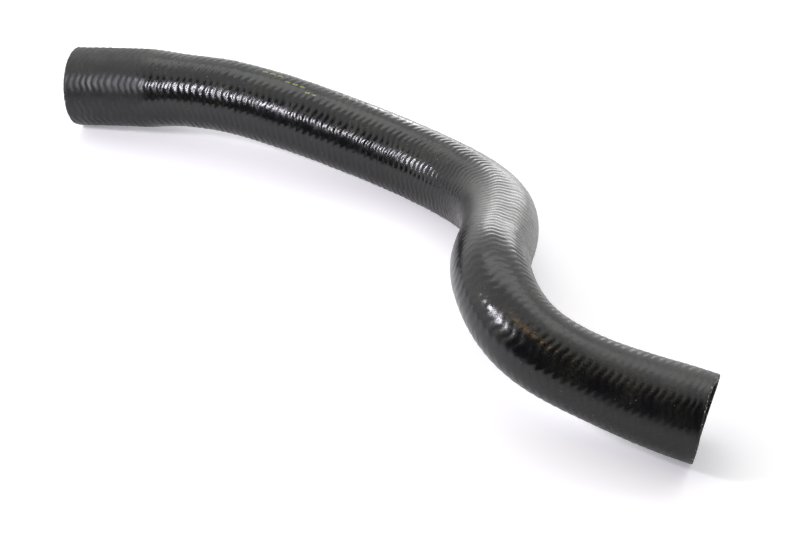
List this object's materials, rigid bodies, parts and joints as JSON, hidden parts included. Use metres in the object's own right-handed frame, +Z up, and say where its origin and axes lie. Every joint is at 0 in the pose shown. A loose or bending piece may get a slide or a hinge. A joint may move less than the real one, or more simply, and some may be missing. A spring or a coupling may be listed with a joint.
{
  "type": "radiator hose",
  "caption": "Preformed rubber coolant hose: a tube bent in an S, with zigzag ribs all along its skin and stretched, square-cut ends.",
  "frame": {"origin": "middle of the hose's box, on the surface that it lies on", "axes": "+Z up from that surface; +X along the plan of the long end, towards the bends; +Y towards the far side"},
  "size_m": [0.4066, 0.2544, 0.0742],
  "materials": {
    "rubber": "satin black rubber with fine ribs"
  },
  "bodies": {
    "root": {"hose": "rubber"}
  },
  "joints": []
}
